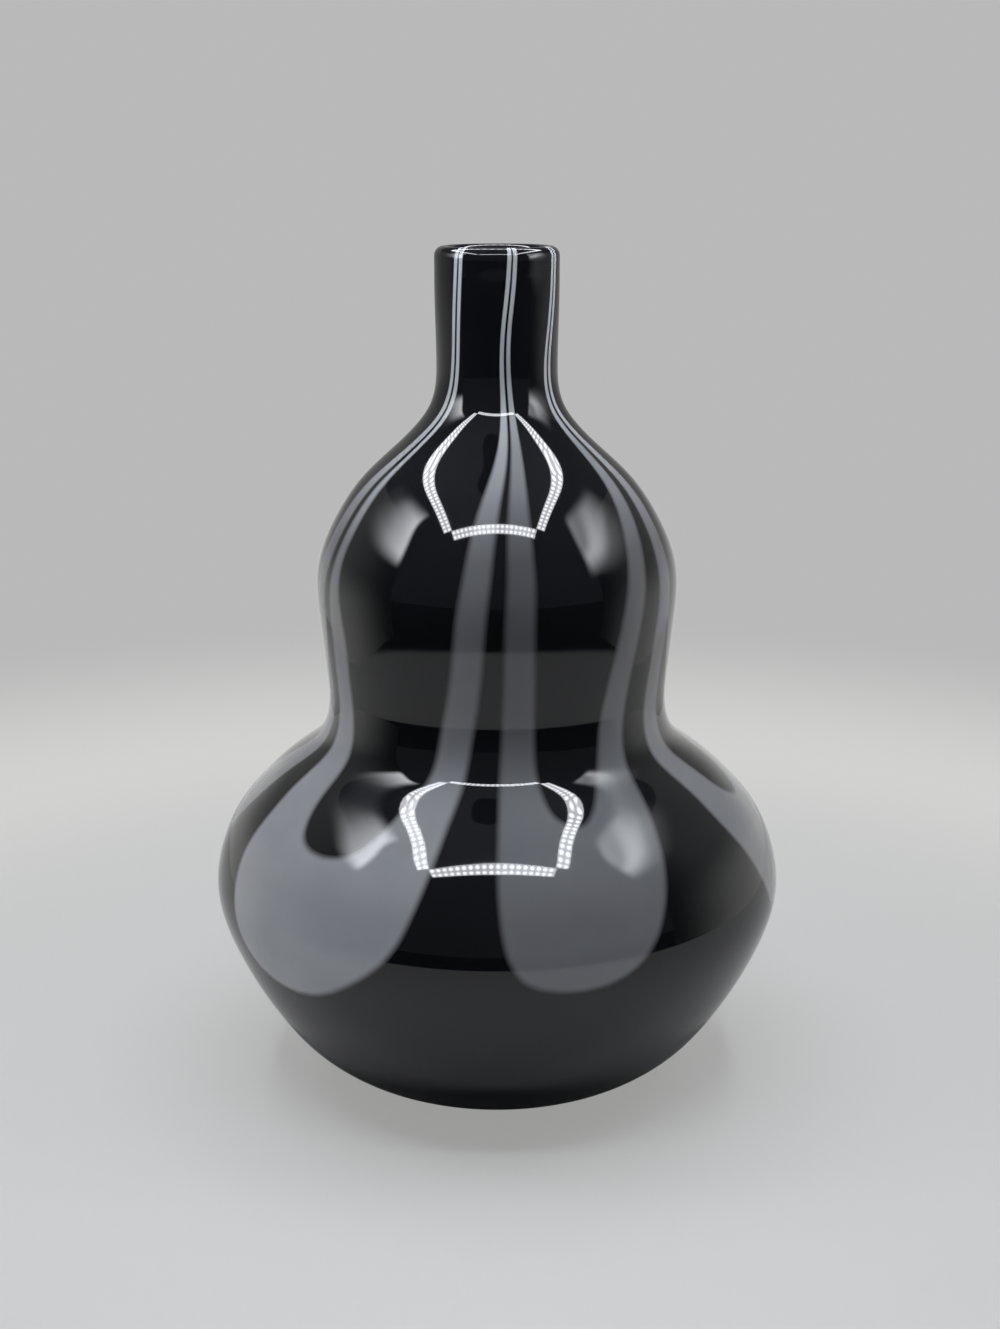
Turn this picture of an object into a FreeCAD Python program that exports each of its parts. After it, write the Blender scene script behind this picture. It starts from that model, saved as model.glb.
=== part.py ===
import FreeCAD, Part
import math
import os
import Sketcher
from FreeCAD import Placement, Rotation, Vector

# A blown glass vase shaped like a double gourd: a thin neck, a crown bulb, a waist and a wide
# belly, all turned about the upright axis. The body is black glass. Six petals of white glass
# lie flush in its skin. Each petal hangs from the lip as two thin trails, which join below the
# waist into one broad drop on the belly.
#
# Millimetres, +Z up. The origin is on the axis, in the plane that the foot ring stands on.
# Azimuths are degrees about the axis: 0 faces -Y, and they grow towards +X.

doc = FreeCAD.newDocument("double_gourd_vase")

# Driving sizes
sizes = {
    "total_height": 230.0,
    # the flat ring ground on the underside, and the polished dimple inside it
    "foot_radius": 31.5,
    "foot_ring_width": 7.0,
    "dimple_depth": 2.0,
    # the foot's edge above the ring, then how far the underside runs out and up from it
    "foot_edge": 1.4,
    "bowl_reach": 33.5,
    "bowl_rise": 4.6,
    # each swell and hollow of the outline: its radius, its height, and the radius of the
    # curve that the outline turns on there
    "belly_radius": 78.5,
    "belly_height": 57.0,
    "belly_bend": 27.5,
    "waist_radius": 46.5,
    "waist_height": 109.0,
    "waist_bend": 38.5,
    "crown_radius": 49.0,
    "crown_height": 139.5,
    "crown_bend": 29.0,
    "neck_radius": 16.5,
    "neck_height": 196.0,
    "neck_bend": 26.5,
    # glass thickness
    "wall": 4.5,
    "neck_wall": 5.0,
    "base_thickness": 9.0,
    # white glass: how deep it lies, and how wide one trail is at the neck, crown and waist
    "inlay_depth": 0.4,
    "neck_trail": 1.3,
    "crown_trail": 7.8,
    "waist_trail": 8.8,
    # black glass between two neighbouring petals at the same places and on the belly
    "neck_gap": 0.8,
    "crown_gap": 4.4,
    "waist_gap": 7.0,
    "belly_gap": 21.0,
    # how far a cutting shape runs past what it cuts
    "overrun": 5.0,
}

sheet = doc.addObject("Spreadsheet::Sheet", "sizes")
for row, (name, value) in enumerate(sizes.items(), start=1):
    sheet.set(f"A{row}", name)
    sheet.set(f"B{row}", str(value))
    sheet.setAlias(f"B{row}", name)
doc.recompute()


def size(name):
    return f"sizes.{name}"


def between(low, high, share):
    return f"({low} + {share} * ({high} - {low}))"


total_height = size("total_height")
foot_radius = size("foot_radius")
foot_edge = size("foot_edge")
belly_height = size("belly_height")
waist_height = size("waist_height")
neck_height = size("neck_height")
neck_radius = size("neck_radius")
overrun = size("overrun")
above_lip = f"({total_height} + {overrun})"
inlay_depth = size("inlay_depth")
lip_round = f"{size('neck_wall')} / 2"
lip_centre = f"({neck_radius} - {lip_round})"
lip_height = f"({total_height} - {lip_round})"


# A sketch whose points are held by expressions in the named sizes. The rules are gathered
# first and laid on the sketch together.

class Profile:
    def __init__(self, sketch):
        self.sketch = sketch
        self.rules = []
        self.holds = []

    def value(self, text):
        return float(self.sketch.evalExpression(text))

    def point(self, place):
        return Vector(self.value(place[0]), self.value(place[1]), 0)

    def hold(self, geometry, vertex, place, kinds=("DistanceX", "DistanceY")):
        """Keep a vertex at a place across and up from the origin."""
        for kind, text in zip(("DistanceX", "DistanceY"), place):
            if kind in kinds:
                self.holds.append((len(self.rules), text))
                self.rules.append(
                    Sketcher.Constraint(kind, -1, 1, geometry, vertex, self.value(text)))

    def line(self, start, end):
        index = self.sketch.addGeometry(Part.LineSegment(self.point(start), self.point(end)))
        self.hold(index, 1, start)
        self.hold(index, 2, end)
        return index

    def curve(self, places, degree):
        """A smooth curve drawn by its control points, from the first to the last."""
        spans = len(places) - degree
        repeats = [degree + 1] + [1] * (spans - 1) + [degree + 1]
        points = [self.point(place) for place in places]
        spline = Part.BSplineCurve()
        spline.buildFromPolesMultsKnots(points, repeats, range(spans + 1), False, degree)
        index = self.sketch.addGeometry(spline)
        # each control point is the centre of a circle, whose radius is the point's weight
        circles = [Part.Circle(point, Vector(0, 0, 1), 1) for point in points]
        first = self.sketch.addGeometry(circles, True)[0]
        self.rules.append(Sketcher.Constraint("Weight", first, 1))
        for offset, place in enumerate(places):
            self.rules.append(Sketcher.Constraint(
                "InternalAlignment:Sketcher::BSplineControlPoint", first + offset, 3,
                index, offset))
            if offset:
                self.rules.append(Sketcher.Constraint("Equal", first, first + offset))
            self.hold(first + offset, 3, place)
        return index

    def arc(self, middle, start, end, start_vertex, end_vertex, kind):
        """An arc about middle, counter-clockwise, its ends tied to two other vertices."""
        centre = self.point(middle)
        rays = [self.point(place) - centre for place in (start, end)]
        angles = [math.atan2(ray.y, ray.x) for ray in rays]
        circle = Part.Circle(centre, Vector(0, 0, 1), rays[0].Length)
        index = self.sketch.addGeometry(Part.ArcOfCircle(circle, *angles))
        self.rules.append(Sketcher.Constraint("Coincident", index, 1, *start_vertex))
        self.rules.append(Sketcher.Constraint("Coincident", index, 2, *end_vertex))
        self.hold(index, 3, middle, (kind,))
        return index

    def finish(self):
        first = self.sketch.addConstraint(self.rules)[0]
        for order, text in self.holds:
            name = f"place_{order}"
            self.sketch.renameConstraint(first + order, name)
            self.sketch.setExpression(f"Constraints.{name}", text)


# The turned outline

# A stretch of the outline between two upright places is a curve of degree four, and this share
# gives the distance to its second control point that makes it turn on the radius asked for.
bend_share = 0.75

# The middle control point of each stretch, as shares of the way in radius and in height, and
# how far it moves down when the outline moves inwards, as a share of that move
flank_shares = (0.62, 0.77, 0.45)
side_shares = (0.50, 0.51, 0.0)
shoulder_shares = (0.51, 0.71, 0.45)
bowl_shares = (0.16, 0.58, -0.30)
cavity_bowl_shares = (0.16, 0.47, 0.0)

# The cavity's floor starts out level for this share of the cavity's radius at the belly
cavity_floor_share = 0.80


def upright(name, inset, bulging):
    """Radius, height and bend where the outline runs upright, moved inwards by inset."""
    sign = "-" if bulging else "+"
    return (f"({size(name + '_radius')} - {inset})", size(f"{name}_height"),
            f"({size(name + '_bend')} {sign} {inset})")


def stretch(low, high, shares, inset):
    """Control points between two upright places of the outline, from the lower to the upper."""
    across, up, drop = shares
    middle_radius = between(low[0], high[0], across)
    middle_height = f"({between(low[1], high[1], up)} - {drop} * {inset})"
    low_handle = f"sqrt({bend_share} * abs({middle_radius} - {low[0]}) * {low[2]})"
    high_handle = f"sqrt({bend_share} * abs({high[0]} - {middle_radius}) * {high[2]})"
    return [low[:2], (low[0], f"{low[1]} + {low_handle}"), (middle_radius, middle_height),
            (high[0], f"{high[1]} - {high_handle}"), high[:2]]


def bowl(start, reach, belly, shares, inset):
    """Control points of the underside, from its start out and up to the belly."""
    across, up, drop = shares
    middle_radius = between(reach[0], belly[0], across)
    middle_height = f"({between(reach[1], belly[1], up)} - {drop} * {inset})"
    handle = f"sqrt({bend_share} * abs({belly[0]} - {middle_radius}) * {belly[2]})"
    return [start, reach, (middle_radius, middle_height),
            (belly[0], f"{belly[1]} - {handle}"), belly[:2]]


def turnedSide(profile, start, reach, shares, inset, neck_inset):
    """The outline from the underside to the start of the neck, moved inwards."""
    belly = upright("belly", inset, True)
    waist = upright("waist", inset, False)
    crown = upright("crown", inset, True)
    neck = upright("neck", neck_inset, False)
    profile.curve(bowl(start, reach, belly, shares, inset), 4)
    profile.curve(stretch(belly, waist, flank_shares, inset), 4)
    profile.curve(stretch(waist, crown, side_shares, inset), 4)
    profile.curve(stretch(crown, neck, shoulder_shares, inset), 4)
    return neck[:2]


def revolved(name, draw):
    """A body turned about the upright axis from the outline that draw makes."""
    body = doc.addObject("PartDesign::Body", name)
    outline = body.newObject("Sketcher::SketchObject", f"{name}_outline")
    front = next(plane for plane in body.Origin.OriginFeatures if plane.Role == "XZ_Plane")
    outline.AttachmentSupport = [(front, "")]
    outline.MapMode = "FlatFace"
    profile = Profile(outline)
    draw(profile)
    profile.finish()
    turn = body.newObject("PartDesign::Revolution", f"{name}_turn")
    turn.Profile = outline
    turn.ReferenceAxis = (outline, ["V_Axis"])
    turn.Angle = 360
    body.Tip = turn
    return body


def drawBlank(profile):
    """The whole vase, hollow, before the white glass is let in."""
    ring_inner = (f"({foot_radius} - {size('foot_ring_width')})", "0")
    ring_outer = (foot_radius, "0")
    foot_top = (foot_radius, foot_edge)
    dimple_top = ("0", size("dimple_depth"))
    floor = ("0", size("base_thickness"))
    wall = size("wall")
    neck_wall = size("neck_wall")
    bore = f"({neck_radius} - {neck_wall})"

    ring = profile.line(ring_inner, ring_outer)
    profile.line(ring_outer, foot_top)
    reach = (f"({foot_radius} + {size('bowl_reach')})", f"({foot_edge} + {size('bowl_rise')})")
    neck = turnedSide(profile, foot_top, reach, bowl_shares, "0", "0")
    neck_line = profile.line(neck, (neck_radius, lip_height))
    bore_line = profile.line((bore, neck_height), (bore, lip_height))
    profile.arc((lip_centre, lip_height), (neck_radius, lip_height), (bore, lip_height),
                (neck_line, 2), (bore_line, 2), "DistanceY")
    floor_reach = (between("0", f"({size('belly_radius')} - {wall})", cavity_floor_share),
                   floor[1])
    turnedSide(profile, floor, floor_reach, cavity_bowl_shares, wall, neck_wall)
    axis = profile.line(dimple_top, floor)
    # the dimple is a shallow cap with its centre on the axis below the foot
    depth = size("dimple_depth")
    cap_drop = f"(({ring_inner[0]})^2 - ({depth})^2) / (2 * {depth})"
    profile.arc(("0", f"-({cap_drop})"), ring_inner, dimple_top,
                (ring, 1), (axis, 1), "DistanceX")


def drawInlayBed(profile):
    """Everything that lies deeper than the white glass, filled to the axis."""
    bed_radius = f"({neck_radius} - {inlay_depth})"
    foot_top = (foot_radius, f"({foot_edge} + {inlay_depth})")
    reach = (f"({foot_radius} + {size('bowl_reach')})",
             f"({foot_edge} + {size('bowl_rise')} + {inlay_depth})")
    neck = turnedSide(profile, foot_top, reach, bowl_shares, inlay_depth, inlay_depth)
    neck_line = profile.line(neck, (bed_radius, lip_height))
    crest = (lip_centre, f"({total_height} - {inlay_depth})")
    crest_line = profile.line(crest, (lip_centre, above_lip))
    profile.arc((lip_centre, lip_height), (bed_radius, lip_height), crest,
                (neck_line, 2), (crest_line, 1), "DistanceY")
    profile.line((lip_centre, above_lip), ("0", above_lip))
    profile.line(("0", above_lip), ("0", foot_top[1]))
    profile.line(("0", foot_top[1]), foot_top)


blank = revolved("blank", drawBlank)
inlay_bed = revolved("inlay_bed", drawInlayBed)
doc.recompute()

# The white petals

# Down to the waist a petal's edges follow the outline's own control points, so they keep to the
# vase whatever its form. Each point is swung round to an azimuth, then moved aside by half the
# black line between two petals and, on a trail's inner edge, by the trail's width as well.
# From there the outer edges run on down the flank and round the drop, and the inner edges
# round the notch between the trails.

# The lines' and trails' widths as shares of the way from one named place to the next one down
neck_width_shares = [(0, 0)] * 4
shoulder_width_shares = [(0, 0), (0, 0), (0, 0.4), (0.5, 1.05), (1, 1)]
side_width_shares = [(0, 0), (0.2, 0.3), (0.3, 0.5), (0.5, 0.7), (1, 1)]
flank_width_shares = [(0, 0), (0.1, 0), (0.45, 0), (1, 0)]

# Where the neck's middle control point is, as a share of the way up from the neck to the lip,
# and where those on the flank are, as shares of the way down and out from waist to belly
neck_middle_share = 0.25
flank_place_shares = [(0, 0), (0.15, 0), (0.40, 0.47), (0.75, 0.91)]

# Azimuths of the black lines between the petals: at the lip, the neck's middle and the neck,
# at three control points of the shoulder, at the crown and the waist, and at three on the
# flank. Last, how far the line widens down the vase against the named gaps.
black_lines = [
    ((-35.5, -41, -43.5), (-49, -60.5, -65), (-66, -68), (-69, -71.5, -72.5), 0.8),
    ((15.5, 5, 8), (13.5, 7, 0.5), (-0.5, -3), (-4, -6, -8), 1.0),
    ((67.5, 54, 55), (56, 72, 59), (55, 50.5), (51, 50, 49), 1.5),
    ((129, 117, 120), (125.5, 117.5, 117), (114, 110), (109, 108, 107), 1.1),
    ((187, 179, 178.5), (177.5, 176, 176.5), (173, 169), (168, 167, 166), 0.9),
    ((257, 249.5, 248.5), (246, 241, 238.5), (234, 229), (228, 227, 227), 1.2),
]
side_turn_shares = [0, 0.3, 0.5, 0.7, 1]

# The lowest point of each petal's drop, as a share of the belly's height, and the foot of the
# notch between its trails, as a share of the way from the belly up to the waist
drop_shares = [0.76, 0.92, 0.84, 0.78, 0.90, 0.82]
notch_shares = [0.45, 0.63, 0.52, 0.48, 0.60, 0.55]

# Control points round the bottom of a drop: across between its edges, and up from its lowest
# point to its edges. Then round the foot of a notch: across between the trails, and up to the
# waist.
drop_round_shares = [(0.03, 0.60), (0.14, 0.02), (0.56, -0.03), (0.88, 0.36)]
notch_round_shares = [(-0.06, 0.50), (-0.12, 0.06), (0.20, -0.05), (0.62, 0.06), (0.88, 0.50)]


def withWidths(points, upper, lower, width_shares):
    """Places on a stretch of the outline, each with the widths of the line and the trail."""
    return [{"radius": radius, "height": height,
             "gap": between(size(f"{upper}_gap"), size(f"{lower}_gap"), gap_share),
             "trail": between(size(f"{upper}_trail"), size(f"{lower}_trail"), trail_share)}
            for (radius, height), (gap_share, trail_share) in zip(points, width_shares)]


def onOutline():
    """Places on the neck, the shoulder, the side and the flank, each from its top down."""
    belly = upright("belly", "0", True)
    waist = upright("waist", "0", False)
    crown = upright("crown", "0", True)
    neck = upright("neck", "0", False)
    neck_middle = between(neck_height, total_height, neck_middle_share)
    neck_points = [(neck_radius, place) for place in
                   (total_height, total_height, neck_middle, neck_height)]
    shoulder = stretch(crown, neck, shoulder_shares, "0")[::-1]
    side = stretch(waist, crown, side_shares, "0")[::-1]
    flank = [(between(waist[0], belly[0], out), between(waist[1], belly[1], down))
             for down, out in flank_place_shares]
    flank_places = withWidths(flank, "waist", "belly", flank_width_shares)
    for place in flank_places:
        place["trail"] = size("waist_trail")
    return [withWidths(neck_points, "neck", "neck", neck_width_shares),
            withWidths(shoulder, "neck", "crown", shoulder_width_shares),
            withWidths(side, "crown", "waist", side_width_shares),
            flank_places]


outline_places = onOutline()


def lineAzimuths(neck, shoulder, side, flank):
    """A black line's azimuth at every place of those four stretches."""
    crown, waist = side
    along_side = [crown + share * (waist - crown) for share in side_turn_shares]
    return [neck[:1] + neck, neck[2:] + shoulder + (crown,), along_side, (waist,) + flank]


def edge(line, turn_round, facing, side, trail_too, above):
    """One edge of a petal across its window, in four stretches from above the lip down."""
    widening = line[4]
    narrow = size("neck_gap")
    stretches = []
    for azimuths, places in zip(lineAzimuths(*line[:4]), outline_places):
        points = []
        for azimuth, place in zip(azimuths, places):
            turn = f"({azimuth + turn_round - facing:g})"
            shift = f"({narrow} + {widening} * ({place['gap']} - {narrow})) / 2"
            if trail_too:
                shift = f"({shift} + {place['trail']})"
            across = f"{place['radius']} * sin{turn} {side} {shift} * cos{turn}"
            points.append((across, place["height"]))
        stretches.append(points)
    stretches[0][0] = (stretches[0][0][0], above)
    return stretches


def window(name, lines, facing, trail_too, run, turned):
    """The space between two lines as seen from one side, made solid through the vase's skin.
    Turned gives the control points round its lower end from its two edges."""
    (left_line, left_turn), (right_line, right_turn) = lines
    above = f"({total_height} + {run})"
    left = edge(left_line, left_turn, facing, "+", trail_too, above)
    right = edge(right_line, right_turn, facing, "-", trail_too, above)
    sketch = doc.addObject("Sketcher::SketchObject", f"{name}_outline")
    profile = Profile(sketch)
    for neck, shoulder, side, flank in (left, right):
        profile.curve(neck, 3)
        profile.curve(shoulder, 4)
        profile.curve(side, 4)
    profile.curve(turned(left[3], right[3]), 3)
    profile.line(left[0][0], right[0][0])
    profile.finish()
    upright_plane = Rotation(Vector(1, 0, 0), 90)
    sketch.Placement = Placement(Vector(), Rotation(Vector(0, 0, 1), facing) * upright_plane)
    solid = doc.addObject("Part::Extrusion", name)
    solid.Base = sketch
    solid.DirMode = "Normal"
    solid.Solid = True
    solid.setExpression("LengthFwd", f"{size('belly_radius')} + {run}")
    return solid


def rounding(shares, left, right, foot, top):
    return [(between(f"({left[0]})", f"({right[0]})", across), between(foot, top[1], up))
            for across, up in shares]


def petalLet(number):
    """The shallow let that one petal fills, drawn wider than the skin so that it cuts clean."""
    left_line = black_lines[number]
    right_line = black_lines[(number + 1) % len(black_lines)]
    right_turn = 360 if right_line[0][0] < left_line[0][0] else 0
    left_end = min(min(azimuths) for azimuths in lineAzimuths(*left_line[:4]))
    right_end = max(max(azimuths) for azimuths in lineAzimuths(*right_line[:4])) + right_turn
    lines = ((left_line, 0), (right_line, right_turn))
    facing = (left_end + right_end) / 2

    def drop(left, right):
        foot = f"({drop_shares[number]} * {belly_height})"
        middle = rounding(drop_round_shares, left[-1], right[-1], foot, left[-1])
        return left + middle + right[::-1]

    def notch(left, right):
        foot = between(belly_height, waist_height, notch_shares[number])
        middle = rounding(notch_round_shares, left[0], right[0], foot, left[0])
        return left[:2] + middle + right[1::-1]

    petal_window = window(f"petal_window_{number + 1}", lines, facing, False, overrun, drop)
    skin = doc.addObject("Part::Cut", f"petal_skin_{number + 1}")
    skin.Base = petal_window
    skin.Tool = inlay_bed
    notch_window = window(f"notch_window_{number + 1}", lines, facing, True,
                          f"2 * {overrun}", notch)
    notch_window.setExpression("LengthRev", overrun)
    let = doc.addObject("Part::Cut", f"petal_let_{number + 1}")
    let.Base = skin
    let.Tool = notch_window
    return let


petals = []
lets = []
for number in range(len(black_lines)):
    let = petalLet(number)
    petal = doc.addObject("Part::Common", f"white_petal_{number + 1}")
    petal.Base = blank
    petal.Tool = let
    petal.Label = f"white_petal_{number + 1}"
    lets.append(let)
    petals.append(petal)

all_lets = doc.addObject("Part::Compound", "all_lets")
all_lets.Links = lets
vessel = doc.addObject("Part::Cut", "black_glass_vessel")
vessel.Base = blank
vessel.Tool = all_lets
vessel.Label = "black_glass_vessel"
doc.recompute()

# Every object has to be sound before anything is written
for item in doc.Objects:
    if "Invalid" in item.State or "Error" in item.State:
        raise RuntimeError(f"{item.Label}: {item.State}")

os.makedirs("parts", exist_ok=True)
for node in [vessel] + petals:
    shape = node.Shape
    if shape.isNull() or not shape.isValid() or len(shape.Solids) != 1:
        raise RuntimeError(f"{node.Label} is not one sound solid")
    shape.exportStep(f"parts/{node.Label}.step")
    box = shape.BoundBox
    print(f"{node.Label}: {shape.Volume / 1000:.2f} cm3, {box.XLength:.1f} x {box.YLength:.1f}"
          f" x {box.ZLength:.1f} mm")
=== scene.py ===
import math

import bpy
import numpy as np
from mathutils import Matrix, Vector
from mathutils.geometry import delaunay_2d_cdt
from mathutils.kdtree import KDTree


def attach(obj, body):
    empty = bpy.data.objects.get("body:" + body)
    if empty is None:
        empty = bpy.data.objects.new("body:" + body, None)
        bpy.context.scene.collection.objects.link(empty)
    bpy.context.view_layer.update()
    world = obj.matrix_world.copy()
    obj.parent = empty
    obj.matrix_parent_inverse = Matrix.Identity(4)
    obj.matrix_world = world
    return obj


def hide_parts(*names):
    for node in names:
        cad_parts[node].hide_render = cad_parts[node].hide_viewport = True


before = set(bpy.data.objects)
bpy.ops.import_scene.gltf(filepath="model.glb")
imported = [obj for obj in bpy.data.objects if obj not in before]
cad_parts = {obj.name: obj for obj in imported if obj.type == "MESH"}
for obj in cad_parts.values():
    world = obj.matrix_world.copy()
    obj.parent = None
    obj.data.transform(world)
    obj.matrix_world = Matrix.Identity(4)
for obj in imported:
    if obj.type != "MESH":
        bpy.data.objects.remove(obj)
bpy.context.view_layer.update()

# A blown glass vase shaped like a double gourd. Black glass, with six petals of white glass let
# flush into its skin. The frame is in metres, +Z up, on the vase's axis, with the foot at zero.
# Sizes of the glass are in millimetres, sizes of the room in metres. Azimuths are in degrees:
# 0 faces -Y, and they grow towards +X.

mm = 0.001
petalCount = 6
touching = 1e-4    # points nearer than this, in millimetres, are one point


# a colour written as sRGB hex, turned linear
def srgb(code):
    parts = [int(code[i:i + 2], 16) / 255 for i in (1, 3, 5)]
    linear = [p / 12.92 if p <= 0.04045 else ((p + 0.055) / 1.055) ** 2.4 for p in parts]
    return (*linear, 1.0)


# one shader node, with its settings and the sockets that feed it
def addNode(tree, kind, settings=None, links=None):
    node = tree.nodes.new(kind)
    for name, value in (settings or {}).items():
        if isinstance(name, str) and hasattr(node, name):
            setattr(node, name, value)
        else:
            node.inputs[name].default_value = value
    for name, source in (links or {}).items():
        tree.links.new(source, node.inputs[name])
    return node


def newMaterial(name):
    material = bpy.data.materials.new(name)
    material.use_nodes = True
    material.node_tree.nodes.clear()
    return material, material.node_tree


# a natural cubic spline through points: the distances at the points, and a function for the
# place and the slope at any distance
def splineThrough(points):
    points = np.array(points, float)
    steps = np.hypot(*np.diff(points, axis=0).T)
    at = np.concatenate([[0], np.cumsum(steps)])
    count = len(points)
    matrix = np.zeros((count, count))
    right = np.zeros((count, 2))
    matrix[0, 0] = matrix[-1, -1] = 1
    for i in range(1, count - 1):
        matrix[i, i - 1:i + 2] = steps[i - 1], 2 * (steps[i - 1] + steps[i]), steps[i]
        right[i] = 6 * ((points[i + 1] - points[i]) / steps[i]
                        - (points[i] - points[i - 1]) / steps[i - 1])
    bend = np.linalg.solve(matrix, right)

    def read(where):
        where = np.atleast_1d(np.clip(where, 0, at[-1]))
        k = np.clip(np.searchsorted(at, where, side="right") - 1, 0, count - 2)
        h = steps[k][:, None]
        b = (where - at[k])[:, None] / h
        a = 1 - b
        place = (a * points[k] + b * points[k + 1]
                 + ((a ** 3 - a) * bend[k] + (b ** 3 - b) * bend[k + 1]) * h ** 2 / 6)
        slope = ((points[k + 1] - points[k]) / h
                 + ((3 * b ** 2 - 1) * bend[k + 1] - (3 * a ** 2 - 1) * bend[k]) * h / 6)
        return place, slope
    return at, read


# The turned glass: radius and height from the foot ring's outer edge up to the neck, then the
# same for the cavity from the bore down to the axis
vase = {
    "outside": [(31.5, 1.4), (38.0, 2.5), (46.0, 5.6), (53.0, 10.3), (58.2, 15.2), (62.6, 20.8),
                (69.0, 30.8), (73.4, 39.2), (76.6, 47.0), (78.2, 53.5), (78.45, 58.0),
                (76.9, 66.7), (72.8, 75.9), (66.0, 83.95), (59.8, 89.7), (53.7, 94.3),
                (48.9, 98.9), (46.55, 105.8), (46.9, 117.3), (48.4, 131.1), (48.7, 144.9),
                (43.5, 158.7), (36.3, 169.05), (27.8, 177.1), (20.95, 184.0),
                (17.9, 188.6), (16.5, 193.4), (16.15, 199.6), (16.35, 211.0), (16.5, 222.0),
                (16.5, 226.0)],
    "cavity": [(11.5, 227.5), (11.5, 196.0), (11.9, 191.0), (14.3, 185.0), (18.2, 180.0),
               (26.8, 172.0), (33.5, 165.0), (40.3, 155.0), (44.0, 145.0), (44.2, 136.0),
               (43.2, 124.0), (42.0, 109.0), (43.5, 100.0), (47.1, 95.0), (53.0, 90.0),
               (59.1, 85.0), (64.0, 80.0), (70.75, 70.0), (74.0, 57.0), (71.3, 45.0),
               (66.5, 36.0), (62.1, 30.0), (53.5, 22.0), (40.0, 13.5), (25.0, 10.0),
               (12.0, 9.1), (0.0, 9.0)],
    "lipRadius": 2.5,
    "lipCentre": (14.0, 227.5),
    "footRing": (24.5, 31.5),    # inner and outer radius of the ground ring
    "footRound": 0.6,
    "dimple": 2.0,               # depth under the foot
    "inlayDepth": 0.40,          # depth of the beds in the black
    "petalDepth": 0.37,          # depth of the white in them
    "skinStart": 24.0,           # the unrolled skin starts at this height
    "lipRows": 8,
    "rowStep": 1.7,
    "columns": 220,
    "cavityRows": 130,
    "undersideRows": 18,
    "clearOfPetal": 0.6,         # grid points keep this far from the points of the petals
    "clearOfPetalAtBorder": 0.12,
}


# points and normals round the lip, from one angle up to another
def lipRound(start, end):
    centreX, centreZ = vase["lipCentre"]
    normals = [(math.cos(math.radians(a)), math.sin(math.radians(a)))
               for a in range(start, end, 10)]
    places = [(centreX + vase["lipRadius"] * x, centreZ + vase["lipRadius"] * z)
              for x, z in normals]
    return places, normals


outsideAt, outside = splineThrough(vase["outside"] + lipRound(0, 91)[0])
crestAt = outsideAt[-1]
crestHeight = vase["lipCentre"][1] + vase["lipRadius"]
sampleAt = np.linspace(0, crestAt, 6000)
sampleHeights = np.maximum.accumulate(outside(sampleAt)[0][:, 1])


# the distance along the outline at a height
def alongAt(height):
    if height >= crestHeight:
        return crestAt
    return float(np.interp(height, sampleHeights, sampleAt))


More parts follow.
